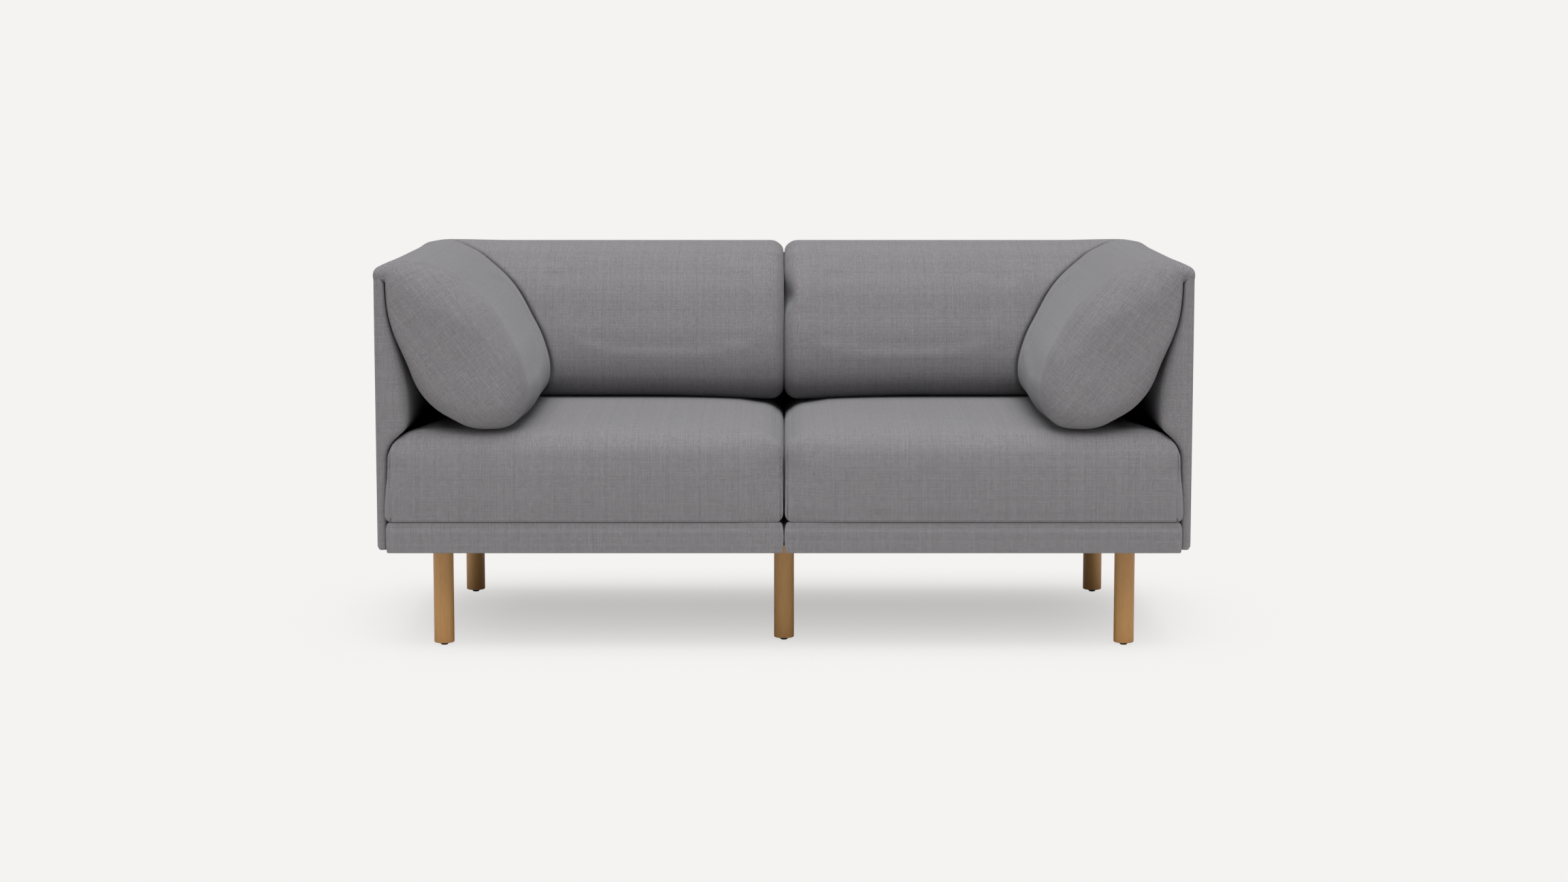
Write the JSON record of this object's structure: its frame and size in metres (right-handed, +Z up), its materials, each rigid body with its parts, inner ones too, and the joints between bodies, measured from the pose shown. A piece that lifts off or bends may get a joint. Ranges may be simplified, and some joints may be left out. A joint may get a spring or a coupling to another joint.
{
  "type": "two-seater sofa",
  "caption": "Compact two-seater sofa of two mirrored corner modules: thin upholstered panels, loose leaning side and back cushions, box seat cushions and round wooden legs.",
  "frame": {"origin": "on the floor under the middle of the sofa's box", "axes": "+X along the sofa from its left end to its right end as seen from the front, -Y the way the seats face, +Z up"},
  "size_m": [1.625, 0.868, 0.7864],
  "materials": {
    "upholstery": "mid grey woven linen-look fabric",
    "leg_wood": "clear satin oak",
    "glide": "matt black nylon",
    "steel": "zinc plated",
    "leg_plate": "matt black",
    "frame_timber": "sawn, unfinished",
    "felt": "white felt",
    "dust_cover": "black spunbond cloth"
  },
  "bodies": {
    "frame": {"leg_front_left": "leg_wood", "glide_front_left": "glide", "leg_bolt_front_left": "steel", "leg_plate_front_left": "leg_plate", "leg_front_centre": "leg_wood", "glide_front_centre": "glide", "leg_bolt_front_centre": "steel", "leg_plate_front_centre": "leg_plate", "leg_front_right": "leg_wood", "glide_front_right": "glide", "leg_bolt_front_right": "steel", "leg_plate_front_right": "leg_plate", "leg_rear_left": "leg_wood", "glide_rear_left": "glide", "leg_bolt_rear_left": "steel", "leg_plate_rear_left": "leg_plate", "leg_rear_centre": "leg_wood", "glide_rear_centre": "glide", "leg_bolt_rear_centre": "steel", "leg_plate_rear_centre": "leg_plate", "leg_rear_right": "leg_wood", "glide_rear_right": "glide", "leg_bolt_rear_right": "steel", "leg_plate_rear_right": "leg_plate", "left_front_rail": "frame_timber", "left_rear_rail": "frame_timber", "left_inner_rail": "frame_timber", "left_outer_rail": "frame_timber", "left_front_block": "frame_timber", "left_rear_block": "frame_timber", "left_spring_1": "steel", "left_spring_2": "steel", "left_spring_3": "steel", "left_seat_deck": "felt", "left_dust_cover": "dust_cover", "left_base_cover": "upholstery", "left_side_panel": "upholstery", "left_back_panel": "upholstery", "right_front_rail": "frame_timber", "right_rear_rail": "frame_timber", "right_inner_rail": "frame_timber", "right_outer_rail": "frame_timber", "right_front_block": "frame_timber", "right_rear_block": "frame_timber", "right_spring_1": "steel", "right_spring_2": "steel", "right_spring_3": "steel", "right_seat_deck": "felt", "right_dust_cover": "dust_cover", "right_base_cover": "upholstery", "right_side_panel": "upholstery", "right_back_panel": "upholstery"},
    "left_seat_cushion_body": {"left_seat_cushion": "upholstery"},
    "left_back_cushion_body": {"left_back_cushion": "upholstery"},
    "left_side_cushion_body": {"left_side_cushion": "upholstery"},
    "right_seat_cushion_body": {"right_seat_cushion": "upholstery"},
    "right_back_cushion_body": {"right_back_cushion": "upholstery"},
    "right_side_cushion_body": {"right_side_cushion": "upholstery"}
  },
  "joints": [
    {"name": "left_seat_cushion_pull", "type": "slide", "parent": "frame", "child": "left_seat_cushion_body", "axis": [0, -1, 0], "range_m": [0, 0.87]},
    {"name": "left_back_cushion_lift", "type": "slide", "parent": "frame", "child": "left_back_cushion_body", "axis": [0, 0, 1], "range_m": [0, 0.36]},
    {"name": "left_side_cushion_lift", "type": "slide", "parent": "frame", "child": "left_side_cushion_body", "axis": [0, 0, 1], "range_m": [0, 0.36]},
    {"name": "right_seat_cushion_pull", "type": "slide", "parent": "frame", "child": "right_seat_cushion_body", "axis": [0, -1, 0], "range_m": [0, 0.87]},
    {"name": "right_back_cushion_lift", "type": "slide", "parent": "frame", "child": "right_back_cushion_body", "axis": [0, 0, 1], "range_m": [0, 0.36]},
    {"name": "right_side_cushion_lift", "type": "slide", "parent": "frame", "child": "right_side_cushion_body", "axis": [0, 0, 1], "range_m": [0, 0.36]}
  ]
}
